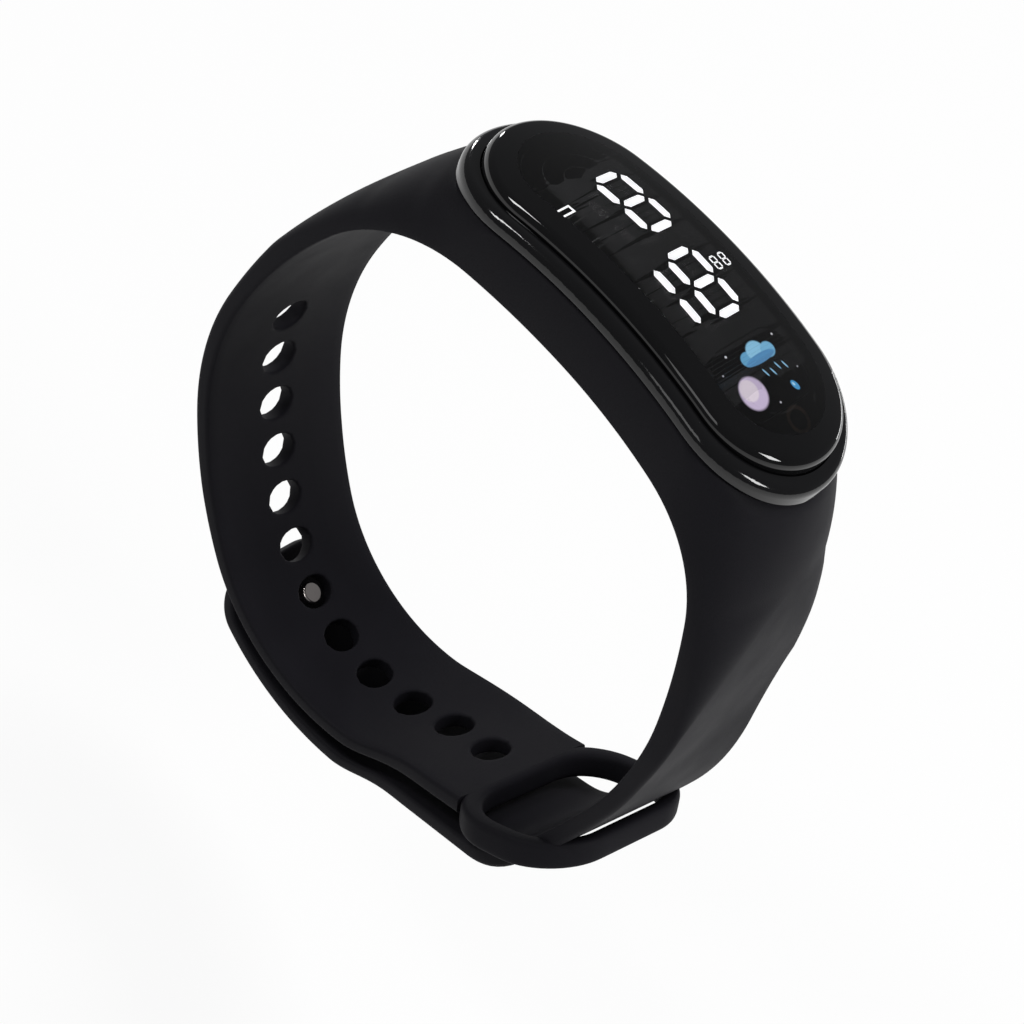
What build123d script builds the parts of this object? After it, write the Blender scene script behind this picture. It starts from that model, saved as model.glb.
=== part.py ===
from build123d import *
from math import cos, degrees, hypot, radians, sin, sqrt, tan
import os

# Digital watch with a one-piece silicone band. The origin is the centre of the
# case back's outer face, +X runs along the case towards the stud side of the
# band, +Y across the band and +Z out of the lens. All sizes are in millimetres.

# Case, seen from above: nested pills, all arched along X
case_length = 47.0
case_width = 22.2
case_height = 10.8
arch_radius = 72.0
overrun = 1.0
tiny = 0.001

# Lens, a pillow with a pocket below for the display
ring_band = 1.7
lens_length = case_length - 2 * ring_band
lens_width = case_width - 2 * ring_band
lens_dome_radius = 40.0
lens_thickness = 1.9
lens_skirt = 2.7
lens_rim_radius = 1.15
lens_wall = 1.6
pocket_length = lens_length - 2 * lens_wall
pocket_width = lens_width - 2 * lens_wall
adhesive_thickness = 0.2

# Upper case: glossy ring, shelf for the lens and side wall
ring_drop = 1.6
ring_dome_radius = 100.0
ring_bottom = 3.6
ring_rim_radius = 1.1
ring_foot_radius = 0.2
lens_gap = 0.12
flange_reach = 1.7
body_length = case_length - 2 * flange_reach
body_width = case_width - 2 * flange_reach
body_wall = 1.2
cavity_length = body_length - 2 * body_wall
cavity_width = body_width - 2 * body_wall

# Case back: a plate under the whole body and a pad that stands proud
pad_end = 4.0
pad_side = 2.3
pad_length = body_length - 2 * pad_end
pad_width = body_width - 2 * pad_side
pad_height = 1.8
plate_thickness = 1.0
gasket_thickness = 0.2
gasket_width = 0.9

# Screws of the case back
screw_end = 3.65
screw_x = body_length / 2 - screw_end
screw_y = 3.6
screw_diameter = 1.2
head_diameter = 2.2
head_height = 0.6
screw_length = 2.8
screw_gap = 0.04
drive_width = 0.4
drive_depth = 0.3
boss_diameter = 3.4
boss_height = 2.1

# Battery tray in the case, and the cell in it
tray_end = 4.4
tray_side = 0.6
tray_length = cavity_length - 2 * tray_end
tray_width = cavity_width - 2 * tray_side
cell_wall = 1.35
cell_diameter = tray_width - 2 * cell_wall
cell_height = 2.0
cell_rim = 0.3
cell_gap = 0.15
cell_x = -2.5

# Springs below and above the cell
contact_thickness = 0.2
contact_inset = 1.75
contact_length = cell_diameter - 2 * contact_inset
contact_width = 3.0
clip_thickness = 0.25
clip_width = 4.0
clip_side = 0.95
clip_reach = cell_diameter / 2 + clip_side
clip_leg = 1.4
clip_gap = 0.1

# Circuit board and what stands on it
board_end = 3.9
board_side = 0.5
board_length = cavity_length - 2 * board_end
board_width = cavity_width - 2 * board_side
board_thickness = 0.8
led_length = 1.0
led_width = 0.6
led_height = 0.4
blob_diameter = 3.6
blob_height = 1.0
blob_shares = (0.326, -0.286)
crystal_length = 3.2
crystal_width = 1.5
crystal_height = 0.8
crystal_end = 2.5
chip_length = 1.0
chip_width = 0.5
chip_height = 0.45
chip_pitch = 1.6
chip_count = 3
capacitor_shares = (0.288, 0.35)
resistor_shares = (0.288, 0.25)
touch_end = 1.8
touch_diameter = 2.0

# Display: opaque mask, lit inserts in its openings, diffuser and reflector
mask_gap = 0.2
mask_length = pocket_length - 2 * mask_gap
mask_width = pocket_width - 2 * mask_gap
mask_thickness = 0.4
insert_gap = 0.02
diffuser_thickness = 0.3
diffuser_length_share = 0.525
diffuser_place_share = -0.0725
diffuser_side = 0.6
diffuser_width = pocket_width - 2 * diffuser_side

# Digits, whose tops point to -X: places, half widths and quarter heights as
# shares of the mask's length and width
hour_shares = (-0.2, 0.165)
minute_shares = (0.057, 0.09)
tens_shares = (0.058, -0.299)
digit_shares = (0.0443, 0.1204)
mark_shares = (0.009, 0.0237)
first_mark_shares = (0.03, 0.3)
second_mark_shares = (0.03, 0.392)
icon_shares = (-0.254, -0.335)
icon_size_shares = (0.025, 0.125)
segment_width = 0.92
segment_gap = 0.62
reflector_segment_width = 1.2
mark_width = 0.2
mark_gap = 0.06
icon_line = 0.24
all_segments = "ABCDEFG"
one_segments = "BC"

# Picture panel, its place and size as shares of the mask
picture_shares = (0.305, -0.013)
picture_size_shares = (0.185, 0.71)
picture_corner = 2.5

# Band
band_thickness = 2.0
band_inset = 0.2
band_width = case_width - 2 * band_inset
cradle_gap = 0.1
flange_gap = 0.2
underside_height = 0.7
band_taper_start = -26.0
band_taper_end = 19.0
neck_inset = 1.3
neck_width = band_width - 2 * neck_inset
stud_taper_top = -26.0
stud_taper_bottom = -47.0
tail_inset = 0.1
tail_width = neck_width - 2 * tail_inset
below_band = -90.0
wedge_top = -32.0
wedge_reach = 50.0
cut_back = 0.5
right_cut = case_length / 2 - cut_back
corner_top = 4.5
corner_bottom = -20.0
corner_flare = 14.0

# Inner face of the holed side from the middle of the case: radius and turn of
# each arc of the shoulder and of the side, then the straight in the keeper
left_shoulder_arcs = ((84.0, 9.0), (20.0, 52.6), (51.0, 20.6))
upper_side_arcs = ((29.0, 32.8),)
lower_side_arcs = ((55.0, 19.5), (22.6, 69.3), (60.0, 9.0))
holed_straight = 16.0

# Inner face of the stud side from the middle of the case
right_shoulder_arcs = ((57.0, -12.7), (17.0, -51.3), (76.0, -18.3))
stud_side_arcs = ((40.0, -26.3),)
dive_radius = 9.0

# Shoulders, thick at the case and thin further on
left_shoulder_heading = 232.0
right_shoulder_heading = -57.0

# Round holes of the band, counted from the case
hole_count = 12
hole_pitch = 6.28
hole_width = 5.0
hole_length = 4.0
last_hole_back = 12.4

# Keeper at the end of the holed side, measured along the straight
keeper_thickness = 3.0
keeper_overhang = 0.9
keeper_width = band_width + 2 * keeper_overhang
keeper_back = 9.5
keeper_front = 9.5
keeper_corner = 6.0
slot_back = 6.0
slot_front = 7.2
slot_gap = 0.25
slot_width = tail_width + 2 * slot_gap
slot_corner = 1.8

# Tail, outside the holed side, and its stud
tail_gap = 2.5
stud_hole = 7
hinge_before_stud = 14.0
tip_length = 6.0
tip_flat = 4.2
tip_radius = tail_width / 2 - tip_flat
head_diameter_stud = 2.8
head_inset = 0.5
head_height_stud = 1.0
head_round = 0.4
post_diameter = 1.8
foot_diameter = 4.4
foot_thickness = 0.5
disc_diameter = 6.0
disc_thickness = 0.7

# Levels that follow from the sizes above
arch_centre = case_height - arch_radius
pocket_radius = arch_radius - lens_thickness
skirt_radius = arch_radius - lens_skirt
shelf_radius = skirt_radius - adhesive_thickness
ring_radius = arch_radius - ring_drop
flange_radius = arch_radius - ring_bottom
inner_radius = flange_radius / 2
cradle_radius = flange_radius - flange_gap
mask_bottom_radius = pocket_radius - mask_thickness
diffuser_bottom_radius = mask_bottom_radius - diffuser_thickness
plate_top = pad_height + plate_thickness
wall_foot = plate_top + gasket_thickness
boss_top = plate_top + boss_height
cell_bottom = plate_top + contact_thickness
clip_bottom = cell_bottom + cell_height
board_bottom = clip_bottom + clip_thickness
board_top = board_bottom + board_thickness
tail_offset = band_thickness + tail_gap


def on_mask(shares):
    """A place or size on the mask from its shares of the mask's length and width."""
    along, across = shares
    return (along * mask_length, across * mask_width)


def on_board(shares):
    """A place on the board from its shares of the board's length and width."""
    along, across = shares
    return (along * board_length, across * board_width)


hour_place = on_mask(hour_shares)
minute_place = on_mask(minute_shares)
tens_place = on_mask(tens_shares)
digit_quarter, digit_half_width = on_mask(digit_shares)
mark_quarter, mark_half_width = on_mask(mark_shares)
mark_places = (on_mask(first_mark_shares), on_mask(second_mark_shares))
icon_place = on_mask(icon_shares)
icon_length, icon_width = on_mask(icon_size_shares)
picture_place = on_mask(picture_shares)
picture_length, picture_width = on_mask(picture_size_shares)
diffuser_length = diffuser_length_share * mask_length
diffuser_x = diffuser_place_share * mask_length


def arch(x, radius):
    """Height at x of a face arched with this radius."""
    return arch_centre + sqrt(radius**2 - x**2)


def prism(sketch, bottom, top):
    """A flat sketch drawn out between two heights."""
    with BuildPart(mode=Mode.PRIVATE) as block:
        with BuildSketch(Plane.XY.offset(bottom)):
            add(sketch)
        extrude(amount=top - bottom)
    return block.part


def pill(length, width):
    """A slot shape along X."""
    with BuildSketch(mode=Mode.PRIVATE) as shape:
        SlotOverall(length, width)
    return shape.sketch


def barrel(top_radius, dome_radius, bottom_radius, width):
    """A wheel about the arch's axis, its rim domed across Y."""
    half = width / 2
    crown = arch_centre + top_radius
    edge = crown - dome_radius + sqrt(dome_radius**2 - half**2)
    floor = arch_centre + bottom_radius
    with BuildPart(mode=Mode.PRIVATE) as wheel:
        with BuildSketch(Plane.YZ):
            with BuildLine():
                ThreePointArc((-half, edge), (0, crown), (half, edge))
                Polyline((half, edge), (half, floor), (-half, floor), (-half, edge))
            make_face()
        revolve(axis=Axis((0, 0, arch_centre), (0, 1, 0)))
    return wheel.part


def arched(sketch, top_radius, bottom_radius, width=case_width + overrun):
    """A flat sketch drawn up and cut to the space between two arches."""
    with BuildPart(mode=Mode.PRIVATE) as slab:
        with BuildSketch(Plane.XZ.offset(-width / 2)):
            with Locations((0, arch_centre)):
                Circle(top_radius)
                Circle(bottom_radius, mode=Mode.SUBTRACT)
        extrude(amount=width)
        add(prism(sketch, 0, 2 * case_height), mode=Mode.INTERSECT)
    return slab.part


def segment(x, y, length, angle, width):
    """One bar of a digit with pointed ends."""
    half = width / 2
    with Locations(Location((x, y), angle)):
        Polygon(
            (-length / 2, 0),
            (-length / 2 + half, half),
            (length / 2 - half, half),
            (length / 2, 0),
            (length / 2 - half, -half),
            (-length / 2 + half, -half),
            align=None,
        )


def digit(place, half_width, quarter, width, gap, lit=all_segments):
    """A seven-segment digit, its top towards -X and its right towards +Y."""
    x, y = place
    across = 2 * half_width - gap
    along = 2 * quarter - gap
    if "A" in lit:
        segment(x - 2 * quarter, y, across, 90, width)
    if "B" in lit:
        segment(x - quarter, y + half_width, along, 0, width)
    if "C" in lit:
        segment(x + quarter, y + half_width, along, 0, width)
    if "D" in lit:
        segment(x + 2 * quarter, y, across, 90, width)
    if "E" in lit:
        segment(x + quarter, y - half_width, along, 0, width)
    if "F" in lit:
        segment(x - quarter, y - half_width, along, 0, width)
    if "G" in lit:
        segment(x, y, across, 90, width)


def digits(width, gap):
    """The three big digits."""
    with BuildSketch(mode=Mode.PRIVATE) as shape:
        digit(hour_place, digit_half_width, digit_quarter, width, gap)
        digit(minute_place, digit_half_width, digit_quarter, width, gap)
        digit(tens_place, digit_half_width, digit_quarter, width, gap, one_segments)
    return shape.sketch


def small_marks(width, gap):
    """The two small digits."""
    with BuildSketch(mode=Mode.PRIVATE) as shape:
        for place in mark_places:
            digit(place, mark_half_width, mark_quarter, width, gap)
    return shape.sketch


def icon(clearance):
    """The battery outline."""
    with BuildSketch(mode=Mode.PRIVATE) as shape:
        with Locations(icon_place):
            Rectangle(icon_length - clearance, icon_width - clearance)
            Rectangle(icon_length - 2 * icon_line + clearance, icon_width - 2 * icon_line + clearance,
                      mode=Mode.SUBTRACT)
    return shape.sketch


def picture(clearance):
    """The picture panel's outline."""
    with BuildSketch(mode=Mode.PRIVATE) as shape:
        with Locations(picture_place):
            RectangleRounded(picture_length - clearance, picture_width - clearance, picture_corner)
    return shape.sketch


def walk(start, heading, steps):
    """Start, middle and end of each step of a path; a step is radius and turn, or length and zero."""
    x, z = start
    angle = radians(heading)
    runs = []
    for size, turn in steps:
        stations = []
        for share in (0, 1 / 2, 1):
            if turn == 0:
                here = (x + size * share * cos(angle), z + size * share * sin(angle), angle)
            else:
                radius = size if turn > 0 else -size
                ahead = angle + radians(turn) * share
                here = (
                    x + radius * (sin(ahead) - sin(angle)),
                    z - radius * (cos(ahead) - cos(angle)),
                    ahead,
                )
            stations.append(here)
        runs.append((turn, stations))
        x, z, angle = stations[-1]
    return runs


def beside(station, offset):
    """The point beside a station, to its left for a positive offset."""
    x, z, angle = station
    return (x - offset * sin(angle), z + offset * cos(angle))


def draw(runs, offset):
    """Lines and arcs along a path at an offset."""
    for turn, stations in runs:
        start, middle, end = (beside(station, offset) for station in stations)
        if turn == 0:
            Line(start, end)
        else:
            ThreePointArc(start, middle, end)


def step_length(size, turn):
    return size if turn == 0 else size * radians(abs(turn))


def path_length(steps):
    return sum(step_length(size, turn) for size, turn in steps)


def stretch(steps, start, heading, begin, end):
    """The runs of a path between two lengths along it."""
    first, second = [], []
    done = 0
    for size, turn in steps:
        run = step_length(size, turn)
        before = min(max(begin - done, 0), run)
        within = min(max(end - done, 0), run) - before
        for kept, part in ((first, before), (second, within)):
            if part > tiny:
                kept.append((part, 0) if turn == 0 else (size, turn * part / run))
        done += run
    x, z, angle = walk(start, heading, first)[-1][1][-1] if first else (*start, radians(heading))
    return walk((x, z), degrees(angle), second)


def station_at(steps, start, heading, length):
    """The station this far along a path."""
    return stretch(steps, start, heading, 0, length)[-1][1][-1]


def across_plane(station, offset):
    """A plane on the band at a station: X along the band, Y across, Z out of the wrist side."""
    x, z = beside(station, offset)
    angle = station[2]
    return Plane(origin=(x, 0, z), x_dir=(cos(angle), 0, sin(angle)), z_dir=(-sin(angle), 0, cos(angle)))


os.makedirs("parts", exist_ok=True)


def save(piece, name):
    piece.label = name
    export_step(piece, f"parts/{name}.step")


# Paths of the band's inner face
top_middle = (0, underside_height)
holed_steps = [*left_shoulder_arcs, *upper_side_arcs, *lower_side_arcs, (holed_straight, 0)]
holed_runs = walk(top_middle, 180, holed_steps)
holed_end = holed_runs[-1][1][-1]
holed_length = path_length(holed_steps)
stud_arcs = [*right_shoulder_arcs, *stud_side_arcs]
stud_runs = walk(top_middle, 0, stud_arcs)
stud_end = stud_runs[-1][1][-1]

# The stud side goes straight on, then bends round to run back outside the holed side
back_x, back_z = beside(holed_end, -tail_offset)
run_x = cos(stud_end[2])
run_z = sin(stud_end[2])
line_x = cos(holed_end[2])
line_z = sin(holed_end[2])
gap_x = back_x - stud_end[0]
gap_z = back_z - stud_end[1]
cross = run_x * line_z - run_z * line_x
to_corner = (gap_x * line_z - gap_z * line_x) / cross
corner_x = stud_end[0] + to_corner * run_x
corner_z = stud_end[1] + to_corner * run_z
dive_turn = -(degrees(stud_end[2]) + 360 - (degrees(holed_end[2]) - 180))
corner_length = dive_radius * tan(radians(-dive_turn / 2))
dive_straight = to_corner - corner_length
corner_back = hypot(back_x - corner_x, back_z - corner_z)
tail_straight = holed_straight - corner_back - corner_length
to_tail = [*stud_arcs, (dive_straight, 0), (dive_radius, dive_turn), (tail_straight, 0)]
stud_steps = to_tail + [(radius + tail_offset, -turn) for radius, turn in reversed(lower_side_arcs)]

# Places of the holes, the stud and the tail's hinge
hole_stations = [
    station_at(holed_steps, top_middle, 180, holed_length - last_hole_back - hole_pitch * (hole_count - count))
    for count in range(1, hole_count + 1)
]
left = last_hole_back + hole_pitch * (hole_count - stud_hole) - holed_straight
stud_length = path_length(to_tail)
for radius, turn in reversed(lower_side_arcs):
    part = min(left, step_length(radius, turn))
    stud_length += part * (radius + tail_offset) / radius
    left -= part
hinge_length = stud_length - hinge_before_stud
tip_end = stud_length + tip_length


def band_block(runs, thickness, width):
    """A stretch of band of even thickness, on the side of its offset."""
    with BuildPart(mode=Mode.PRIVATE) as block:
        with BuildSketch(Plane.XZ.offset(-width / 2)):
            with BuildLine():
                draw(runs, 0)
                draw(runs, thickness)
                Line(beside(runs[0][1][0], 0), beside(runs[0][1][0], thickness))
                Line(beside(runs[-1][1][-1], 0), beside(runs[-1][1][-1], thickness))
            make_face()
        extrude(amount=width)
    return block.part


def shoulder_block(runs, thickness, side, heading):
    """Half of the cradle and its shoulder, as far as the band is thick."""
    flange_end = (side * case_length / 2, arch(case_length / 2, cradle_radius))
    flange_middle = (side * case_length / 4, arch(case_length / 4, cradle_radius))
    crown = (0, arch(0, cradle_radius))
    last = runs[-1][1][-1]
    outer = beside(last, thickness)
    turn = radians(heading)
    with BuildPart(mode=Mode.PRIVATE) as block:
        with BuildSketch(Plane.XZ.offset(-band_width / 2)):
            with BuildLine():
                draw(runs, 0)
                Line(beside(last, 0), outer)
                Spline(flange_end, outer, tangents=((cos(turn), sin(turn)), (cos(last[2]), sin(last[2]))))
                ThreePointArc(flange_end, flange_middle, crown)
                Line(crown, top_middle)
            make_face()
        extrude(amount=band_width)
    return block.part


# Corner trimmer: all that lies outside a pill which widens downwards
with BuildPart() as corners:
    with BuildSketch(Plane.XY.offset(corner_bottom)):
        Rectangle(2 * case_length, 2 * case_length)
    extrude(amount=corner_top - corner_bottom + case_height)
    with BuildSketch(Plane.XY.offset(corner_bottom)):
        SlotOverall(case_length + 2 * corner_flare, band_width + 2 * corner_flare)
    with BuildSketch(Plane.XY.offset(corner_top)):
        SlotOverall(case_length, band_width)
    loft(mode=Mode.SUBTRACT)
    with BuildSketch(Plane.XY.offset(corner_top)):
        SlotOverall(case_length, band_width)
    extrude(amount=case_height + overrun, mode=Mode.SUBTRACT)

# Pocket of the cradle
with BuildPart() as pocket:
    add(prism(pill(body_length + 2 * cradle_gap, body_width + 2 * cradle_gap), pad_height, case_height))
    add(prism(pill(pad_length + 2 * cradle_gap, pad_width + 2 * cradle_gap), -case_height, pad_height))

# Stud side of the band with its shoulder, before it is divided
shoulder_length = path_length(right_shoulder_arcs)
with BuildPart() as stud_side_whole:
    add(shoulder_block(walk(top_middle, 0, right_shoulder_arcs), band_thickness, 1, right_shoulder_heading))
    add(band_block(stretch(stud_steps, top_middle, 0, shoulder_length, hinge_length), band_thickness,
                   band_width))
    with BuildSketch(Plane.YZ):
        with BuildLine():
            Polyline(
                (-band_width / 2, case_height),
                (-band_width / 2, stud_taper_top),
                (-tail_width / 2, stud_taper_bottom),
                (-tail_width / 2, below_band),
                (tail_width / 2, below_band),
                (tail_width / 2, stud_taper_bottom),
                (band_width / 2, stud_taper_top),
                (band_width / 2, case_height),
                close=True,
            )
        make_face()
    extrude(amount=case_length, both=True, mode=Mode.INTERSECT)
    add(corners.part, mode=Mode.SUBTRACT)
    add(pocket.part, mode=Mode.SUBTRACT)

with BuildPart() as stud_side:
    add(stud_side_whole.part)
    with BuildSketch(Plane.YZ.offset(right_cut)):
        Rectangle(band_width + overrun, 2 * case_height)
    extrude(amount=-case_length, mode=Mode.SUBTRACT)
save(stud_side.part, "strap_stud_side")

# Holed side, both halves of the cradle and the keeper
with BuildPart() as strap:
    add(shoulder_block(walk(top_middle, 180, left_shoulder_arcs), -band_thickness, -1, left_shoulder_heading))
    left_length = path_length(left_shoulder_arcs)
    add(band_block(stretch(holed_steps, top_middle, 180, left_length, holed_length), -band_thickness,
                   band_width))
    with BuildSketch(Plane.XY.offset(below_band)):
        for side in (1, -1):
            with BuildLine():
                Polyline(
                    (band_taper_start, side * band_width / 2),
                    (band_taper_end, side * neck_width / 2),
                    (wedge_reach, side * neck_width / 2),
                    (wedge_reach, side * (band_width / 2 + overrun)),
                    (band_taper_start, side * (band_width / 2 + overrun)),
                    close=True,
                )
            make_face()
    extrude(amount=wedge_top - below_band, mode=Mode.SUBTRACT)
    with BuildSketch(across_plane(holed_end, 0)):
        with Locations(((keeper_front - keeper_back) / 2, 0)):
            RectangleRounded(keeper_front + keeper_back, keeper_width, keeper_corner)
    extrude(amount=-keeper_thickness)
    with BuildSketch(across_plane(holed_end, overrun)):
        with Locations(((slot_front - slot_back) / 2, 0)):
            RectangleRounded(slot_front + slot_back, slot_width, slot_corner)
    extrude(amount=-keeper_thickness - 2 * overrun, mode=Mode.SUBTRACT)
    for station in hole_stations:
        with BuildSketch(across_plane(station, overrun)):
            Ellipse(hole_length / 2, hole_width / 2)
        extrude(amount=-band_thickness - 2 * overrun, mode=Mode.SUBTRACT)
    add(corners.part, mode=Mode.SUBTRACT)
    add(pocket.part, mode=Mode.SUBTRACT)
    with BuildPart(mode=Mode.PRIVATE) as right_half:
        add(stud_side_whole.part)
        with BuildSketch(Plane.YZ):
            Rectangle(band_width + overrun, 2 * case_height)
        extrude(amount=right_cut, mode=Mode.INTERSECT)
    add(right_half.part)
save(strap.part, "strap")

# Tail: the end of the stud side, with a rounded tip and the stud's hole
stud_on_path = station_at(stud_steps, top_middle, 0, stud_length)
tip_station = station_at(stud_steps, top_middle, 0, tip_end)
with BuildPart() as tail:
    add(band_block(stretch(stud_steps, top_middle, 0, hinge_length, tip_end), band_thickness, tail_width))
    with BuildPart(mode=Mode.PRIVATE) as tip_cut:
        with BuildSketch(across_plane(tip_station, -overrun)):
            with Locations((-tip_radius / 2, 0)):
                Rectangle(tip_radius + 2 * overrun, tail_width + overrun)
            with Locations((-tip_radius - tail_width / 2, 0)):
                RectangleRounded(tip_radius * 2 + tail_width, tail_width, tip_radius, mode=Mode.SUBTRACT)
        extrude(amount=tail_width)
    add(tip_cut.part, mode=Mode.SUBTRACT)
    with BuildSketch(across_plane(stud_on_path, -overrun)):
        Circle(post_diameter / 2)
    extrude(amount=band_thickness + 2 * overrun, mode=Mode.SUBTRACT)
    with BuildSketch(across_plane(stud_on_path, band_thickness - disc_thickness - foot_thickness)):
        Circle(foot_diameter / 2)
    extrude(amount=band_thickness, mode=Mode.SUBTRACT)
    with BuildSketch(across_plane(stud_on_path, band_thickness - disc_thickness)):
        Circle(disc_diameter / 2)
    extrude(amount=band_thickness, mode=Mode.SUBTRACT)
save(tail.part, "strap_tail")

# Stud: foot in the tail, post through it and head in the band's hole
head_inner = head_inset - tail_offset
foot_inner = band_thickness - disc_thickness - foot_thickness
head_x, head_z = beside(stud_on_path, head_inner)
with BuildPart() as stud:
    with BuildSketch(across_plane(stud_on_path, head_inner)):
        Circle(head_diameter_stud / 2)
    extrude(amount=head_height_stud)
    fillet(stud.edges().filter_by(GeomType.CIRCLE).sort_by_distance(Vector(head_x, 0, head_z))[0], head_round)
    with BuildSketch(across_plane(stud_on_path, head_inner + head_height_stud)):
        Circle(post_diameter / 2)
    extrude(amount=foot_inner - head_inner - head_height_stud)
    with BuildSketch(across_plane(stud_on_path, foot_inner)):
        Circle(foot_diameter / 2)
    extrude(amount=foot_thickness)
save(stud.part, "stud")

# Disc that closes the tail behind the stud's foot
with BuildPart() as disc:
    with BuildSketch(across_plane(stud_on_path, band_thickness - disc_thickness)):
        Circle(disc_diameter / 2)
    extrude(amount=disc_thickness)
save(disc.part, "stud_backing_disc")

# Lens: pillow with a flat pocket below
with BuildPart() as lens:
    add(barrel(arch_radius, lens_dome_radius, skirt_radius, lens_width + overrun))
    add(prism(pill(lens_length, lens_width), 0, 2 * case_height), mode=Mode.INTERSECT)
    fillet(lens.faces().sort_by(Axis.Z)[-1].edges(), lens_rim_radius)
    add(arched(pill(pocket_length, pocket_width), pocket_radius, flange_radius), mode=Mode.SUBTRACT)
save(lens.part, "lens")

# Adhesive frame under the lens's skirt
with BuildPart() as adhesive:
    add(arched(pill(lens_length, lens_width), skirt_radius, shelf_radius))
    add(prism(pill(pocket_length, pocket_width), 0, 2 * case_height), mode=Mode.SUBTRACT)
save(adhesive.part, "lens_adhesive")

# Upper case: ring with the lens's recess, side wall and screw bosses
screw_places = [(x, y) for x in (-screw_x, screw_x) for y in (-screw_y, screw_y)]
with BuildPart() as upper_case:
    add(barrel(ring_radius, ring_dome_radius, flange_radius, case_width + overrun))
    add(prism(pill(case_length, case_width), 0, 2 * case_height), mode=Mode.INTERSECT)
    fillet(upper_case.faces().sort_by(Axis.Z)[-1].edges(), ring_rim_radius)
    flange_face = upper_case.faces().filter_by(GeomType.CYLINDER).sort_by(SortBy.AREA)[-1]
    fillet(flange_face.edges(), ring_foot_radius)
    with BuildPart(mode=Mode.PRIVATE) as wall:
        add(arched(pill(body_length, body_width), flange_radius + ring_foot_radius, inner_radius))
        with BuildSketch(Plane.XY):
            Rectangle(2 * case_length, 2 * case_length)
        extrude(amount=wall_foot, mode=Mode.SUBTRACT)
        add(arched(pill(cavity_length, cavity_width), flange_radius, inner_radius), mode=Mode.SUBTRACT)
    add(wall.part)
    add(arched(pill(lens_length + 2 * lens_gap, lens_width + 2 * lens_gap), arch_radius + overrun,
               shelf_radius, case_width), mode=Mode.SUBTRACT)
    add(prism(pill(pocket_length, pocket_width), 0, 2 * case_height), mode=Mode.SUBTRACT)
    with BuildSketch(Plane.XY.offset(plate_top)):
        with Locations(*screw_places):
            Circle(boss_diameter / 2)
    extrude(amount=boss_top - plate_top)
    with BuildSketch(Plane.XY.offset(plate_top)):
        with Locations(*screw_places):
            Circle(screw_diameter / 2 + screw_gap)
    extrude(amount=pad_height + screw_length + screw_gap - plate_top, mode=Mode.SUBTRACT)
save(upper_case.part, "upper_case")

# Case back: plate, proud pad and screw holes
with BuildPart() as case_back:
    add(prism(pill(body_length, body_width), pad_height, plate_top))
    add(prism(pill(pad_length, pad_width), 0, pad_height))
    with BuildSketch(Plane.XY.offset(pad_height)):
        with Locations(*screw_places):
            Circle(screw_diameter / 2 + screw_gap)
    extrude(amount=plate_thickness, mode=Mode.SUBTRACT)
    with BuildSketch(Plane.XY.offset(pad_height)):
        with Locations(*screw_places):
            Circle(head_diameter / 2 + screw_gap)
    extrude(amount=head_height, mode=Mode.SUBTRACT)
save(case_back.part, "case_back")

# Gasket between the case back's plate and the wall
with BuildPart() as gasket:
    add(prism(pill(body_length, body_width), plate_top, wall_foot))
    add(prism(pill(body_length - 2 * gasket_width, body_width - 2 * gasket_width), plate_top, wall_foot),
        mode=Mode.SUBTRACT)
save(gasket.part, "back_gasket")

# Four slotted screws
with BuildPart() as screws:
    with BuildSketch(Plane.XY.offset(pad_height)):
        with Locations(*screw_places):
            Circle(head_diameter / 2)
    extrude(amount=head_height)
    with BuildSketch(Plane.XY.offset(pad_height)):
        with Locations(*screw_places):
            Circle(screw_diameter / 2)
    extrude(amount=screw_length)
    with BuildSketch(Plane.XY.offset(pad_height)):
        with Locations(*screw_places):
            Rectangle(head_diameter + overrun, drive_width)
    extrude(amount=drive_depth, mode=Mode.SUBTRACT)
save(screws.part, "case_screws")

# Coin cell: can and the smaller cap below
with BuildPart() as cell:
    with BuildSketch(Plane.XY.offset(cell_bottom)):
        with Locations((cell_x, 0)):
            Circle(cell_diameter / 2 - cell_rim)
    extrude(amount=cell_rim)
    with BuildSketch(Plane.XY.offset(cell_bottom + cell_rim)):
        with Locations((cell_x, 0)):
            Circle(cell_diameter / 2)
    extrude(amount=cell_height - cell_rim)
save(cell.part, "battery")

# Contact below the cell and clip over it, with two legs
with BuildPart() as contact:
    with BuildSketch(Plane.XY.offset(plate_top)):
        with Locations((cell_x, 0)):
            Rectangle(contact_length, contact_width)
    extrude(amount=contact_thickness)
save(contact.part, "battery_contact")

with BuildPart() as clip:
    with BuildSketch(Plane.XY.offset(clip_bottom)):
        with Locations((cell_x, 0)):
            Rectangle(2 * clip_reach, clip_width)
    extrude(amount=clip_thickness)
    with BuildSketch(Plane.XY.offset(clip_bottom - clip_leg)):
        with Locations(*[(cell_x + side * (clip_reach - clip_thickness / 2), 0) for side in (-1, 1)]):
            Rectangle(clip_thickness, clip_width)
    extrude(amount=clip_leg)
save(clip.part, "battery_clip")

# Tray round the cell, which carries the board
with BuildPart() as tray:
    add(prism(pill(tray_length, tray_width), plate_top, board_bottom))
    with BuildSketch(Plane.XY.offset(plate_top)):
        with Locations((cell_x, 0)):
            Circle(cell_diameter / 2 + cell_gap)
    extrude(amount=board_bottom - plate_top, mode=Mode.SUBTRACT)
    with BuildSketch(Plane.XY.offset(clip_bottom - clip_leg - clip_gap)):
        with Locations((cell_x, 0)):
            Rectangle(2 * clip_reach + 2 * clip_gap, clip_width + 2 * clip_gap)
    extrude(amount=board_bottom - plate_top, mode=Mode.SUBTRACT)
save(tray.part, "battery_tray")

# Circuit board
with BuildPart() as board:
    add(prism(pill(board_length, board_width), board_bottom, board_top))
save(board.part, "circuit_board")

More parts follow.
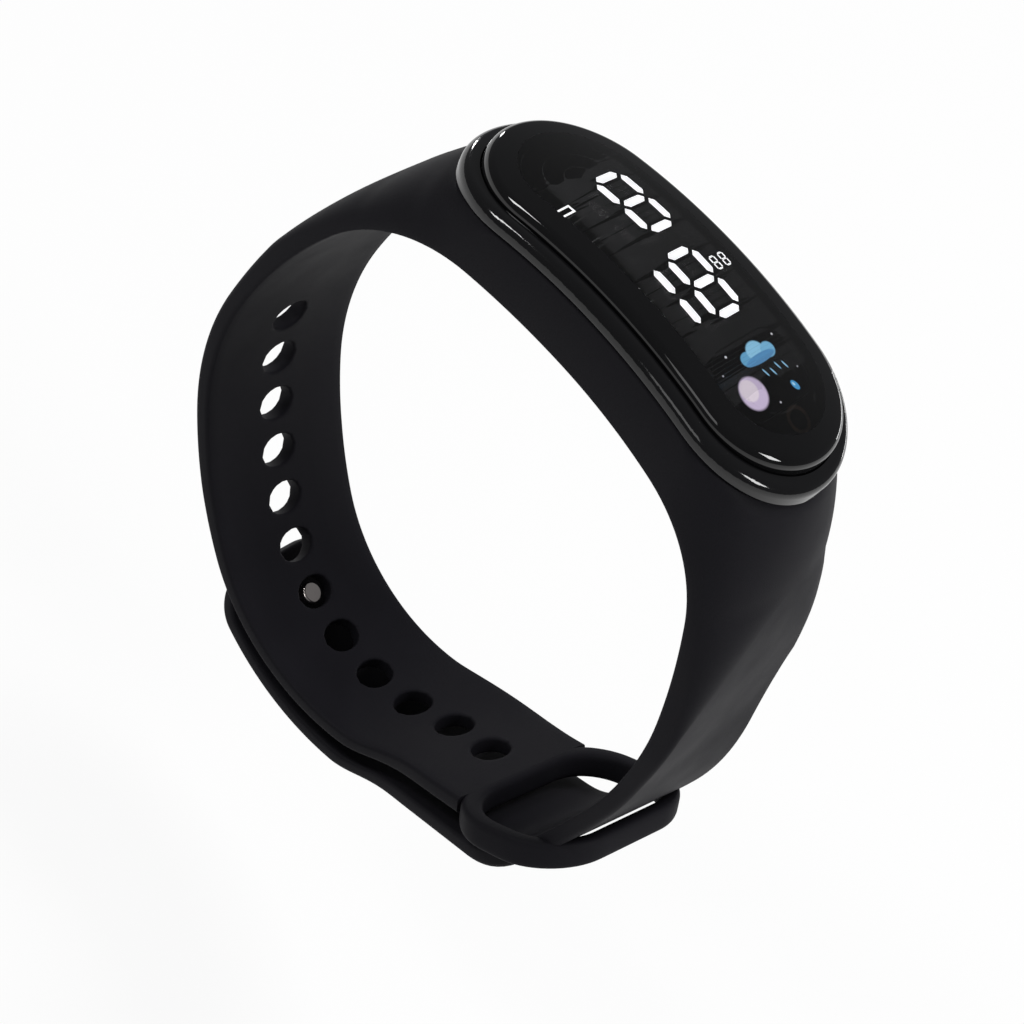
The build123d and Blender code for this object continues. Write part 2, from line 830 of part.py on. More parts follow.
# Light sources under the digits, the small marks and the picture
led_places = []
for x, y in (hour_place, minute_place):
    led_places += [(x + share * digit_quarter, y) for share in (-2, 0, 2)]
    led_places += [(x + share * digit_quarter, y + side * digit_half_width)
                   for share in (-1, 1) for side in (-1, 1)]
led_places += [(tens_place[0] + share * digit_quarter, tens_place[1] + digit_half_width) for share in (-1, 1)]
led_places += [*mark_places, icon_place, picture_place]
with BuildPart() as leds:
    with BuildSketch(Plane.XY.offset(board_top)):
        with Locations(*led_places):
            Rectangle(led_length, led_width)
    extrude(amount=led_height)
save(leds.part, "led_chips")

# Controller under its blob
with BuildPart() as blob:
    with BuildSketch(Plane.XY.offset(board_top)):
        with Locations(on_board(blob_shares)):
            Circle(blob_diameter / 2)
    extrude(amount=blob_height)
    fillet(blob.edges().group_by(Axis.Z)[-1], blob_height - tiny)
save(blob.part, "controller_blob")

# Clock crystal
with BuildPart() as crystal:
    with BuildSketch(Plane.XY.offset(board_top)):
        with Locations((crystal_end - board_length / 2, 0)):
            Rectangle(crystal_width, crystal_length)
    extrude(amount=crystal_height)
save(crystal.part, "clock_crystal")

# Small chips beside the picture
for name, row_shares in (("capacitors", capacitor_shares), ("resistors", resistor_shares)):
    row_x, row_y = on_board(row_shares)
    with BuildPart() as chips:
        with BuildSketch(Plane.XY.offset(board_top)):
            with Locations(*[(row_x + count * chip_pitch, row_y) for count in range(chip_count)]):
                Rectangle(chip_width, chip_length)
        extrude(amount=chip_height)
    save(chips.part, name)

# Touch contact of conductive rubber, from the board up to the mask
with BuildSketch() as touch_shape:
    with Locations((board_length / 2 - touch_end, 0)):
        Circle(touch_diameter / 2)
with BuildPart() as touch:
    add(arched(touch_shape.sketch, mask_bottom_radius, inner_radius))
    with BuildSketch(Plane.XY):
        Rectangle(2 * case_length, 2 * case_length)
    extrude(amount=board_top, mode=Mode.SUBTRACT)
save(touch.part, "touch_contact")

# Mask with its openings, and the inserts that fill them
with BuildPart() as mask:
    add(arched(pill(mask_length, mask_width), pocket_radius, mask_bottom_radius))
    add(prism(digits(segment_width, segment_gap), 0, case_height), mode=Mode.SUBTRACT)
    add(prism(small_marks(mark_width, mark_gap), 0, case_height), mode=Mode.SUBTRACT)
    add(prism(icon(0), 0, case_height), mode=Mode.SUBTRACT)
    add(prism(picture(0), 0, case_height), mode=Mode.SUBTRACT)
save(mask.part, "segment_mask")

insert_width = segment_width - 2 * insert_gap
insert_space = segment_gap + 2 * insert_gap
with BuildPart() as lit_digits:
    add(arched(digits(insert_width, insert_space), pocket_radius, mask_bottom_radius))
save(lit_digits.part, "digit_segments")

with BuildPart() as lit_marks:
    add(arched(small_marks(mark_width - insert_gap, mark_gap + insert_gap), pocket_radius, mask_bottom_radius))
    add(arched(icon(2 * insert_gap), pocket_radius, mask_bottom_radius))
save(lit_marks.part, "small_marks")

with BuildPart() as panel:
    add(arched(picture(2 * insert_gap), pocket_radius, mask_bottom_radius))
save(panel.part, "picture_panel")

# Diffuser under the mask and reflector between it and the board
with BuildSketch() as display_shape:
    with Locations((diffuser_x, 0)):
        Rectangle(diffuser_length, diffuser_width)
with BuildPart() as diffuser:
    add(arched(display_shape.sketch, mask_bottom_radius, diffuser_bottom_radius))
save(diffuser.part, "diffuser_sheet")

with BuildPart() as reflector:
    add(arched(display_shape.sketch, diffuser_bottom_radius, inner_radius))
    with BuildSketch(Plane.XY):
        Rectangle(2 * case_length, 2 * case_length)
    extrude(amount=board_top, mode=Mode.SUBTRACT)
    add(prism(digits(reflector_segment_width, segment_gap), 0, case_height), mode=Mode.SUBTRACT)
    with BuildSketch(Plane.XY):
        with Locations(*mark_places, icon_place):
            Rectangle(icon_length + mark_gap, icon_width)
    extrude(amount=case_height, mode=Mode.SUBTRACT)
save(reflector.part, "reflector_block")
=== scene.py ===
import math

import bmesh
import bpy
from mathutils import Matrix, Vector


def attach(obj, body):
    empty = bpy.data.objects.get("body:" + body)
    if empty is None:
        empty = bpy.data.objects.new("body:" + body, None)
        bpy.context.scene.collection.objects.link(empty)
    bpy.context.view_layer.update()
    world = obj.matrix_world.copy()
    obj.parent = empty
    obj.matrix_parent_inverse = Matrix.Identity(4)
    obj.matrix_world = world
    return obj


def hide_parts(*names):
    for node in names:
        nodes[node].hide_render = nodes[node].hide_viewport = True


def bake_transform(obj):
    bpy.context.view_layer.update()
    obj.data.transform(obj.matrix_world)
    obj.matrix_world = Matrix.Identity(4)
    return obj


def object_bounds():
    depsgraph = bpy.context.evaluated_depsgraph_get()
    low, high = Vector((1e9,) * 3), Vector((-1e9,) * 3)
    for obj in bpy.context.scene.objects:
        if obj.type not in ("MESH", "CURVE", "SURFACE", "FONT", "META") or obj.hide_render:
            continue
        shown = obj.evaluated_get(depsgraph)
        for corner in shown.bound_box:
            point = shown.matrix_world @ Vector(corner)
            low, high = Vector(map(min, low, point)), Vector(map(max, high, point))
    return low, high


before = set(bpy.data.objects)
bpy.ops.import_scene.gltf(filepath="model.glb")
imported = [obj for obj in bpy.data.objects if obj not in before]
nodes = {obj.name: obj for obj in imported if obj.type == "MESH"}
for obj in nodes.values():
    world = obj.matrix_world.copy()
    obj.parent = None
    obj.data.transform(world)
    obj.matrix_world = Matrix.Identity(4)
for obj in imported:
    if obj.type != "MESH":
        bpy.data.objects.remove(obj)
cad_low, cad_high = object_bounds()

# Camera, which looks down into the loop from the near side of the band, as in
# the photograph.
camera_data = bpy.data.cameras.new("camera")
camera_data.sensor_width = 36.0
camera_data.lens = 63.46
camera_data.clip_start = 0.01
camera = bpy.data.objects.new("camera", camera_data)
bpy.context.scene.collection.objects.link(camera)
camera.location = (0.038478, -0.12883, 0.109413)
camera.rotation_euler = (math.radians(37.9154), math.radians(-24.6302), math.radians(44.2902))
bpy.context.scene.camera = camera
bpy.context.scene.view_settings.view_transform = "Standard"

# White paper, low enough under the watch for the band to slide down and its tail
# to open. It is blank for the camera and in reflections, but for a faint shadow.
PAPER_HALF = 12.0
PAPER_DROP = 0.034
PAPER_WHITE = 0.9
paper_bm = bmesh.new()
bmesh.ops.create_grid(paper_bm, x_segments=1, y_segments=1, size=PAPER_HALF)
bmesh.ops.translate(paper_bm, verts=paper_bm.verts, vec=(0, 0, cad_low[2] - PAPER_DROP))
paper_mesh = bpy.data.meshes.new("paper")
paper_bm.to_mesh(paper_mesh)
paper_bm.free()
paper = bpy.data.objects.new("paper", paper_mesh)
bpy.context.scene.collection.objects.link(paper)

paper_white = bpy.data.materials.new("paper_white")
paper_white.use_nodes = True
tree = paper_white.node_tree
paper_shader = tree.nodes["Principled BSDF"]
paper_shader.inputs["Base Color"].default_value = (0.8, 0.8, 0.8, 1)
paper_shader.inputs["Roughness"].default_value = 0.9
paper_shader.inputs["Specular IOR Level"].default_value = 0.1
blank = tree.nodes.new("ShaderNodeEmission")
blank.inputs["Color"].default_value = (1, 1, 1, 1)
seen_by = tree.nodes.new("ShaderNodeLightPath")
camera_or_gloss = tree.nodes.new("ShaderNodeMath")
camera_or_gloss.operation = "MAXIMUM"
or_glass = tree.nodes.new("ShaderNodeMath")
or_glass.operation = "MAXIMUM"
share_blank = tree.nodes.new("ShaderNodeMath")
share_blank.operation = "MULTIPLY"
share_blank.inputs[1].default_value = PAPER_WHITE
paper_mix = tree.nodes.new("ShaderNodeMixShader")
tree.links.new(seen_by.outputs["Is Camera Ray"], camera_or_gloss.inputs[0])
tree.links.new(seen_by.outputs["Is Glossy Ray"], camera_or_gloss.inputs[1])
tree.links.new(camera_or_gloss.outputs["Value"], or_glass.inputs[0])
tree.links.new(seen_by.outputs["Is Transmission Ray"], or_glass.inputs[1])
tree.links.new(or_glass.outputs["Value"], share_blank.inputs[0])
tree.links.new(share_blank.outputs["Value"], paper_mix.inputs["Fac"])
tree.links.new(paper_shader.outputs["BSDF"], paper_mix.inputs[1])
tree.links.new(blank.outputs["Emission"], paper_mix.inputs[2])
tree.links.new(paper_mix.outputs["Shader"], tree.nodes["Material Output"].inputs["Surface"])
paper_mesh.materials.append(paper_white)

# Dim studio room and its soft boxes. The lamp overhead lights the inside of the
# loop and is screened from the lens.
AIMED_AT = (0, 0, -0.03)
room = bpy.data.worlds.new("room")
bpy.context.scene.world = room
room.use_nodes = True
room.node_tree.nodes["Background"].inputs["Color"].default_value = (0.96, 0.97, 1, 1)
room.node_tree.nodes["Background"].inputs["Strength"].default_value = 0.15


def soft_box(name, place, width, height, power):
    """A rectangular studio lamp that faces the watch."""
    lamp_data = bpy.data.lights.new(name, "AREA")
    lamp_data.shape = "RECTANGLE"
    lamp_data.size = width
    lamp_data.size_y = height
    lamp_data.energy = power
    lamp = bpy.data.objects.new(name, lamp_data)
    bpy.context.scene.collection.objects.link(lamp)
    lamp.location = place
    lamp.rotation_euler = (Vector(AIMED_AT) - Vector(place)).to_track_quat("-Z", "Y").to_euler()
    return lamp


soft_box("right_box", (0.6, 0.0, 0.42), 0.16, 0.24, 2.2)
soft_box("front_box", (0.1, -0.62, 0.5), 0.3, 0.24, 0.5)
top_box = soft_box("top_box", (0.12, 0.5, 0.8), 0.3, 0.26, 6.0)
top_box.visible_glossy = False
top_box.visible_transmission = False
soft_box("left_box", (-0.46, -0.3, 0.5), 0.12, 0.2, 1.6)
soft_box("left_strip", (-0.62, 0.48, 0.13), 0.05, 0.12, 0.5)
soft_box("far_strip", (0.19, 0.77, 0.03), 0.3, 0.03, 0.5)


# Case back: a plate with a proud pad, moulded in black polycarbonate with a
# fine spark-eroded grain, screwed to the upper case from below.
MOTTLE_SCALE = 180.0
MOTTLE_COLOUR = 0.15
MOTTLE_GLOSS = 0.14
GRAIN_DEPTH = 0.00005


def moulded(name, colour, roughness, grain, relief, specular=0.5, metal=0.0):
    """A solid finish: mottled colour and roughness, and a fine grain in the surface."""
    finish = bpy.data.materials.new(name)
    finish.use_nodes = True
    tree = finish.node_tree
    shader = tree.nodes["Principled BSDF"]
    shader.inputs["Specular IOR Level"].default_value = specular
    shader.inputs["Metallic"].default_value = metal
    place = tree.nodes.new("ShaderNodeTexCoord")
    mottle = tree.nodes.new("ShaderNodeTexNoise")
    mottle.inputs["Scale"].default_value = MOTTLE_SCALE
    mottle.inputs["Detail"].default_value = 5.0
    shade = tree.nodes.new("ShaderNodeValToRGB")
    shade.color_ramp.elements[0].color = [c * (1 - MOTTLE_COLOUR) for c in colour] + [1]
    shade.color_ramp.elements[1].color = [min(c * (1 + MOTTLE_COLOUR), 1.0) for c in colour] + [1]
    dull = tree.nodes.new("ShaderNodeMapRange")
    dull.inputs["To Min"].default_value = roughness * (1 - MOTTLE_GLOSS)
    dull.inputs["To Max"].default_value = min(roughness * (1 + MOTTLE_GLOSS), 1.0)
    grit = tree.nodes.new("ShaderNodeTexNoise")
    grit.inputs["Scale"].default_value = grain
    grit.inputs["Detail"].default_value = 3.0
    bump = tree.nodes.new("ShaderNodeBump")
    bump.inputs["Strength"].default_value = relief
    bump.inputs["Distance"].default_value = GRAIN_DEPTH
    tree.links.new(place.outputs["Object"], mottle.inputs["Vector"])
    tree.links.new(place.outputs["Object"], grit.inputs["Vector"])
    tree.links.new(mottle.outputs["Fac"], shade.inputs["Fac"])
    tree.links.new(mottle.outputs["Fac"], dull.inputs["Value"])
    tree.links.new(shade.outputs["Color"], shader.inputs["Base Color"])
    tree.links.new(dull.outputs["Result"], shader.inputs["Roughness"])
    tree.links.new(grit.outputs["Fac"], bump.inputs["Height"])
    tree.links.new(bump.outputs["Normal"], shader.inputs["Normal"])
    return finish


def dress(name, finish):
    """Gives a piece that comes with the frame its finish."""
    for spot in nodes[name].material_slots:
        spot.material = finish


dress("case_back", moulded("case_matte", (0.012, 0.012, 0.013), 0.5, 9000.0, 0.35))

# Gasket: a flat ring of grey silicone rubber, laid between the case back and
# the wall and pressed by the screws.
dress("back_gasket", moulded("gasket_rubber", (0.09, 0.09, 0.1), 0.7, 4000.0, 0.2))

# Battery tray: white glass-filled nylon, moulded. It lies on the case back and
# carries the cell and the board.
dress("battery_tray", moulded("white_nylon", (0.75, 0.75, 0.72), 0.45, 5000.0, 0.25))

# Coin cell: can and cap of nickel-plated steel, crimped over a ring. It drops
# into the tray.
dress("battery", moulded("cell_steel", (0.62, 0.61, 0.58), 0.3, 3000.0, 0.15, metal=1.0))

# Springs below and over the cell: strips stamped from tin-plated bronze. The
# upper one grips the cell with two legs.
spring_tin = moulded("spring_tin", (0.7, 0.66, 0.56), 0.32, 2500.0, 0.2, metal=1.0)
dress("battery_contact", spring_tin)
dress("battery_clip", spring_tin)

# Circuit board: glass epoxy under green solder mask, cut to a rounded outline
# and laid on the tray.
dress("circuit_board", moulded("board_green", (0.01, 0.1, 0.035), 0.35, 2200.0, 0.3))

# Light-emitting chips: yellow phosphor in small packages, one under each
# segment, soldered to the board.
dress("led_chips", moulded("phosphor_yellow", (0.85, 0.68, 0.16), 0.4, 5000.0, 0.1))

# Controller: a bare chip, bonded to the board under a dab of black epoxy that
# is cured in place.
dress("controller_blob", moulded("epoxy_black", (0.014, 0.014, 0.014), 0.28, 1200.0, 0.4))

# Clock crystal: a small welded can of nickel-plated steel. It is soldered down
# flat on the board.
dress("clock_crystal", moulded("crystal_can", (0.66, 0.64, 0.6), 0.26, 4000.0, 0.12, metal=1.0))

# Ceramic chips in two rows, tan capacitors and black resistors, soldered to
# the board.
dress("capacitors", moulded("ceramic_tan", (0.42, 0.27, 0.15), 0.45, 6000.0, 0.2))
dress("resistors", moulded("ceramic_black", (0.03, 0.03, 0.032), 0.4, 6000.0, 0.2))

# Touch contact: a stub of conductive rubber, pressed between the board and the
# mask.
dress("touch_contact", moulded("carbon_rubber", (0.03, 0.03, 0.03), 0.75, 5000.0, 0.4))

# Reflector block: white plastic with a light well for each segment. It stands
# on the board.
dress("reflector_block", moulded("reflector_white", (0.84, 0.84, 0.82), 0.4, 5000.0, 0.15))

# Diffuser: a milky plastic sheet on the reflector that spreads the chips'
# light.
dress("diffuser_sheet", moulded("milky_sheet", (0.86, 0.86, 0.84), 0.55, 4000.0, 0.1))

# Segment mask: black printed film over the diffuser. The ring of the touch key
# is printed on it in brown, so that it barely shows.
TOUCH_KEY = (0.0173, 0.0004, 0.0)
TOUCH_RADIUS = 0.0012
TOUCH_LINE = 0.0002
TOUCH_BROWN = (0.03, 0.02, 0.014)


def print_over(tree, share, below, colour):
    """Prints a colour over what lies below, as much as the share says, and gives the result."""
    ink = tree.nodes.new("ShaderNodeMix")
    ink.data_type = "RGBA"
    ground, print_colour = [s for s in ink.inputs if s.type == "RGBA"]
    ground.default_value = (0, 0, 0, 1)
    print_colour.default_value = (*colour, 1)
    tree.links.new(share, ink.inputs["Factor"])
    if below:
        tree.links.new(below, ground)
    return [s for s in ink.outputs if s.type == "RGBA"][0]


mask_black = moulded("mask_black", (0.0022, 0.0021, 0.002), 0.42, 6000.0, 0.05, specular=0.05)
tree = mask_black.node_tree
shader = tree.nodes["Principled BSDF"]
black_print = shader.inputs["Base Color"].links[0].from_socket
place = tree.nodes.new("ShaderNodeTexCoord")
flat = tree.nodes.new("ShaderNodeVectorMath")
flat.operation = "MULTIPLY"
flat.inputs[1].default_value = (1, 1, 0)
from_key = tree.nodes.new("ShaderNodeVectorMath")
from_key.operation = "DISTANCE"
from_key.inputs[1].default_value = TOUCH_KEY
off_line = tree.nodes.new("ShaderNodeMath")
off_line.operation = "SUBTRACT"
off_line.inputs[1].default_value = TOUCH_RADIUS
either_side = tree.nodes.new("ShaderNodeMath")
either_side.operation = "ABSOLUTE"
on_line = tree.nodes.new("ShaderNodeMapRange")
on_line.inputs["From Min"].default_value = TOUCH_LINE * 0.5
on_line.inputs["From Max"].default_value = TOUCH_LINE * 1.5
on_line.inputs["To Min"].default_value = 1.0
on_line.inputs["To Max"].default_value = 0.0
tree.links.new(place.outputs["Object"], flat.inputs[0])
tree.links.new(flat.outputs["Vector"], from_key.inputs[0])
tree.links.new(from_key.outputs["Value"], off_line.inputs[0])
tree.links.new(off_line.outputs["Value"], either_side.inputs[0])
tree.links.new(either_side.outputs["Value"], on_line.inputs["Value"])
with_key = print_over(tree, on_line.outputs["Result"], black_print, TOUCH_BROWN)
tree.links.new(with_key, shader.inputs["Base Color"])
dress("segment_mask", mask_black)

# Lit inserts: clear plugs in the mask's openings that glow white over the
# shining chips.
GLOW_LOW = 0.9
GLOW_HIGH = 1.2
lit_white = moulded("lit_white", (0.8, 0.8, 0.82), 0.4, 4000.0, 0.05)
tree = lit_white.node_tree
shader = tree.nodes["Principled BSDF"]
place = tree.nodes.new("ShaderNodeTexCoord")
glow = tree.nodes.new("ShaderNodeTexNoise")
glow.inputs["Scale"].default_value = 900.0
glow_level = tree.nodes.new("ShaderNodeMapRange")
glow_level.inputs["To Min"].default_value = GLOW_LOW
glow_level.inputs["To Max"].default_value = GLOW_HIGH
tree.links.new(place.outputs["Object"], glow.inputs["Vector"])
tree.links.new(glow.outputs["Fac"], glow_level.inputs["Value"])
tree.links.new(glow_level.outputs["Result"], shader.inputs["Emission Strength"])
shader.inputs["Emission Color"].default_value = (1.0, 1.0, 1.0, 1)
dress("digit_segments", lit_white)
dress("small_marks", lit_white)

# Picture panel: a printed film lit from behind. A blue cloud stands over slanted
# rain, with a pale evening sun below it and a few stars. Each patch has its
# centre, turn, half sizes and colour.
MM = 0.001
SUN = (((13.3, -2.7), 0.0, (1.75, 1.75), (0.66, 0.55, 0.76)),
       ((12.9, -3.0), 0.0, (1.15, 1.15), (0.86, 0.76, 0.86)))
CLOUD = (((10.5, -0.7), 0.0, (0.8, 1.0), (0.14, 0.4, 0.64)),
         ((10.2, 0.8), 0.0, (1.1, 1.3), (0.28, 0.6, 0.84)),
         ((10.6, 2.3), 0.0, (0.85, 1.0), (0.2, 0.5, 0.76)),
         ((10.95, 0.8), 0.0, (0.5, 2.3), (0.1, 0.3, 0.56)))
RAIN = [((12.3 + 0.25 * (count % 2), 0.2 + 0.95 * count), 0.35, (0.5, 0.1), (0.3, 0.62, 0.9))
        for count in range(4)]
DROP = (((14.6, 2.6), 0.5, (0.62, 0.38), (0.08, 0.36, 0.68)),
        ((14.45, 2.5), 0.5, (0.22, 0.14), (0.45, 0.75, 0.95)))
STARS = (((9.3, -2.9), 0.0, (0.14, 0.14), (0.7, 0.7, 0.76)),
         ((10.6, -4.6), 0.0, (0.1, 0.1), (0.6, 0.6, 0.68)),
         ((15.2, -0.4), 0.0, (0.12, 0.12), (0.6, 0.6, 0.68)),
         ((13.3, 4.4), 0.0, (0.1, 0.1), (0.55, 0.55, 0.62)),
         ((9.6, 4.1), 0.0, (0.13, 0.13), (0.7, 0.7, 0.76)))
picture_print = moulded("picture_print", (0.0022, 0.0021, 0.002), 0.42, 6000.0, 0.05, specular=0.05)
tree = picture_print.node_tree
shader = tree.nodes["Principled BSDF"]
place = tree.nodes.new("ShaderNodeTexCoord")
painted = None
for centre, turn, reach, colour in (*SUN, *CLOUD, *RAIN, *DROP, *STARS):
    patch = tree.nodes.new("ShaderNodeMapping")
    patch.vector_type = "TEXTURE"
    patch.inputs["Location"].default_value = (centre[0] * MM, centre[1] * MM, 0)
    patch.inputs["Rotation"].default_value = (0, 0, turn)
    patch.inputs["Scale"].default_value = (reach[0] * MM, reach[1] * MM, 1000.0)
    radius = tree.nodes.new("ShaderNodeVectorMath")
    radius.operation = "LENGTH"
    inside = tree.nodes.new("ShaderNodeMapRange")
    inside.inputs["From Min"].default_value = 0.85
    inside.inputs["From Max"].default_value = 1.0
    inside.inputs["To Min"].default_value = 1.0
    inside.inputs["To Max"].default_value = 0.0
    tree.links.new(place.outputs["Object"], patch.inputs["Vector"])
    tree.links.new(patch.outputs["Vector"], radius.inputs[0])
    tree.links.new(radius.outputs["Value"], inside.inputs["Value"])
    painted = print_over(tree, inside.outputs["Result"], painted, colour)
tree.links.new(painted, shader.inputs["Emission Color"])
shader.inputs["Emission Strength"].default_value = 0.85
dress("picture_panel", picture_print)

# Adhesive frame: black double-sided foam tape, die-cut, that holds the lens on
# its shelf.
dress("lens_adhesive", moulded("foam_tape", (0.02, 0.02, 0.02), 0.8, 3000.0, 0.5))

# Upper case: the ring round the display, the lens's shelf and the wall in one
# moulding of black polycarbonate, polished in the mould.
case_gloss = moulded("case_gloss", (0.004, 0.004, 0.0045), 0.08, 1500.0, 0.015, specular=0.45)
dress("upper_case", case_gloss)

# Lens: a pillow of clear acrylic, domed across and arched along the case, with
# a rounded rim and a flat pocket over the display. Its border is painted black
# behind, and it is glued to the shelf.
ARCH_CENTRE = -61.2
LENS_ARCH = 72.0
LENS_DOME = 40.0
LENS_RIM = 1.15
LENS_SKIRT = 69.3
LENS_POCKET = 70.1
LENS_HALF_LENGTH = 21.8
LENS_HALF_WIDTH = 9.4
LENS_WALL = 1.6
LENS_BORDER = 2.7
LENS_AROUND = 288
RIM_CUTS = 10
TOP_CUTS = 18
BORDER_CUTS = 3
SLOPE_STEP = 0.01
UNDERSIDE_INSETS = (0.0, LENS_WALL, LENS_WALL, 3.6, 5.6, 7.6, LENS_HALF_WIDTH)


def lens_top(x, y):
    """Height of the lens's domed and arched top."""
    crown = LENS_ARCH - LENS_DOME + math.sqrt(LENS_DOME**2 - y * y)
    return ARCH_CENTRE + math.sqrt(crown**2 - x * x)


def pill_point(share, inset):
    """The point a share round the lens's outline, this far inside it."""
    straight = LENS_HALF_LENGTH - LENS_HALF_WIDTH
    radius = LENS_HALF_WIDTH - inset
    arc = math.pi * LENS_HALF_WIDTH
    way = share * 2 * (arc + 2 * straight)
    if way < arc:
        angle = way / LENS_HALF_WIDTH - math.pi / 2
        return straight + radius * math.cos(angle), radius * math.sin(angle)
    if way < arc + 2 * straight:
        return straight - (way - arc), radius
    if way < 2 * arc + 2 * straight:
        angle = (way - 2 * straight) / LENS_HALF_WIDTH - math.pi / 2
        return -straight + radius * math.cos(angle), radius * math.sin(angle)
    return -straight + (way - 2 * arc - 2 * straight), -radius


def lens_point(share, ring):
    """A point of the lens, on rings from the top's middle line over the rim to the pocket's middle line."""
    edge_x, edge_y = pill_point(share, 0.0)
    next_x, next_y = pill_point(share, SLOPE_STEP)
    slope = (lens_top(next_x, next_y) - lens_top(edge_x, edge_y)) / SLOPE_STEP
    lean = math.atan(slope)
    rim_inset = LENS_RIM * (1 - math.sin(lean))
    if ring <= TOP_CUTS:
        past_window = ring - TOP_CUTS + BORDER_CUTS
        if past_window <= 0:
            inset = LENS_HALF_WIDTH - (LENS_HALF_WIDTH - LENS_BORDER) * ring / (TOP_CUTS - BORDER_CUTS)
        else:
            inset = LENS_BORDER - (LENS_BORDER - rim_inset) * past_window / BORDER_CUTS
        x, y = pill_point(share, inset)
        return x, y, lens_top(x, y)
    ring -= TOP_CUTS
    if ring <= RIM_CUTS:
        angle = (math.pi / 2 - lean) * (1 - ring / RIM_CUTS)
        x, y = pill_point(share, LENS_RIM * (1 - math.cos(angle)))
        rise = LENS_RIM * slope - LENS_RIM / math.cos(lean) + LENS_RIM * math.sin(angle)
        return x, y, lens_top(edge_x, edge_y) + rise
    ring -= RIM_CUTS
    x, y = pill_point(share, UNDERSIDE_INSETS[ring - 1])
    return x, y, ARCH_CENTRE + math.sqrt((LENS_SKIRT if ring < 3 else LENS_POCKET)**2 - x * x)


def finished(name, bm, finish, body, sharp=40.0):
    """A bmesh becomes a piece that rides on a body, smooth but for its sharp edges."""
    mesh = bpy.data.meshes.new(name)
    bm.to_mesh(mesh)
    bm.free()
    mesh.shade_smooth()
    mesh.set_sharp_from_angle(angle=math.radians(sharp))
    piece = bpy.data.objects.new(name, mesh)
    bpy.context.scene.collection.objects.link(piece)
    mesh.materials.append(finish)
    if body:
        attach(piece, body)
    return piece


lens_rings = TOP_CUTS + RIM_CUTS + len(UNDERSIDE_INSETS)
lens_bm = bmesh.new()
bmesh.ops.create_grid(lens_bm, x_segments=LENS_AROUND, y_segments=lens_rings, size=0.5)
for face in lens_bm.faces:
    ring = (face.calc_center_median().y + 0.5) * lens_rings
    if TOP_CUTS - BORDER_CUTS < ring < TOP_CUTS + RIM_CUTS + 1:
        face.material_index = 1
for vert in lens_bm.verts:
    spot = lens_point(vert.co.x + 0.5, round((vert.co.y + 0.5) * lens_rings))
    vert.co = Vector(spot) * MM
bmesh.ops.remove_doubles(lens_bm, verts=lens_bm.verts, dist=0.000002)
bmesh.ops.recalc_face_normals(lens_bm, faces=lens_bm.faces)

window = moulded("lens_window", (0.9, 0.9, 0.92), 0.02, 700.0, 0.01, specular=0.3)
window.node_tree.nodes["Principled BSDF"].inputs["Transmission Weight"].default_value = 1.0
window.node_tree.nodes["Principled BSDF"].inputs["IOR"].default_value = 1.49
lens_border = moulded("lens_border", (0.003, 0.003, 0.0033), 0.04, 700.0, 0.01, specular=0.45)
lens = finished("window_lens", lens_bm, window, "case", sharp=50.0)
lens.data.materials.append(lens_border)
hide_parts("lens")

# Case back screws: slotted, zinc-plated steel, driven into the bosses of the
# upper case.
dress("case_screws", moulded("screw_steel", (0.5, 0.5, 0.52), 0.3, 2500.0, 0.2, metal=1.0))

# Band: one moulding of matte charcoal silicone. Its strip is shaped flat and
# then laid along the wrist loop: the holed side, the cradle round the case and
# the stud side down into the keeper.
HOLED_SIDE = [(84.0, 9.0), (20.0, 52.6), (51.0, 20.6), (29.0, 32.8),
              (55.0, 19.5), (22.6, 69.3), (60.0, 9.0), (16.0, 0.0)]
STUD_SIDE = [(57.0, -12.7), (17.0, -51.3), (76.0, -18.3), (40.0, -26.3), (1.875, 0.0),
             (9.0, -38.6), (11.106, 0.0), (64.5, -9.0), (27.1, -69.3)]
UNDERSIDE = 0.7


def step_on(x, z, angle, size, turn, share):
    """The place and heading a share along an arc, or along a straight where the turn is zero."""
    if turn == 0:
        return x + size * share * math.cos(angle), z + size * share * math.sin(angle), angle
    radius = size if turn > 0 else -size
    ahead = angle + math.radians(turn) * share
    return (x + radius * (math.sin(ahead) - math.sin(angle)),
            z - radius * (math.cos(ahead) - math.cos(angle)), ahead)


def loop_path(steps, heading):
    """Lays arcs of a radius and turn, and straights of a length, end to end.

    Gives the length before each step and of it, the place and heading where it
    starts, its size and its turn.
    """
    x, z, angle, done, path = 0.0, UNDERSIDE, math.radians(heading), 0.0, []
    for size, turn in steps:
        run = size if turn == 0 else size * math.radians(abs(turn))
        path.append((done, run, x, z, angle, size, turn))
        x, z, angle = step_on(x, z, angle, size, turn, 1.0)
        done += run
    return path


holed_path = loop_path(HOLED_SIDE, 180)
stud_path = loop_path(STUD_SIDE, 0)
HOLED_END = holed_path[-1][0] + holed_path[-1][1]


def inner_face(s):
    """Place on the band's inner face and its outward normal. Negative lengths run down the stud side."""
    path = holed_path if s >= 0 else stud_path
    done, run, x, z, angle, size, turn = [step for step in path if abs(s) >= step[0]][-1]
    x, z, angle = step_on(x, z, angle, size, turn, (abs(s) - done) / run)
    if s >= 0:
        return Vector((x, z)), Vector((math.sin(angle), -math.cos(angle)))
    return Vector((x, z)), Vector((-math.sin(angle), math.cos(angle)))


def eased(share):
    """A share of 0 to 1 with a soft start and end."""
    share = max(0.0, min(1.0, share))
    return share * share * (3 - 2 * share)


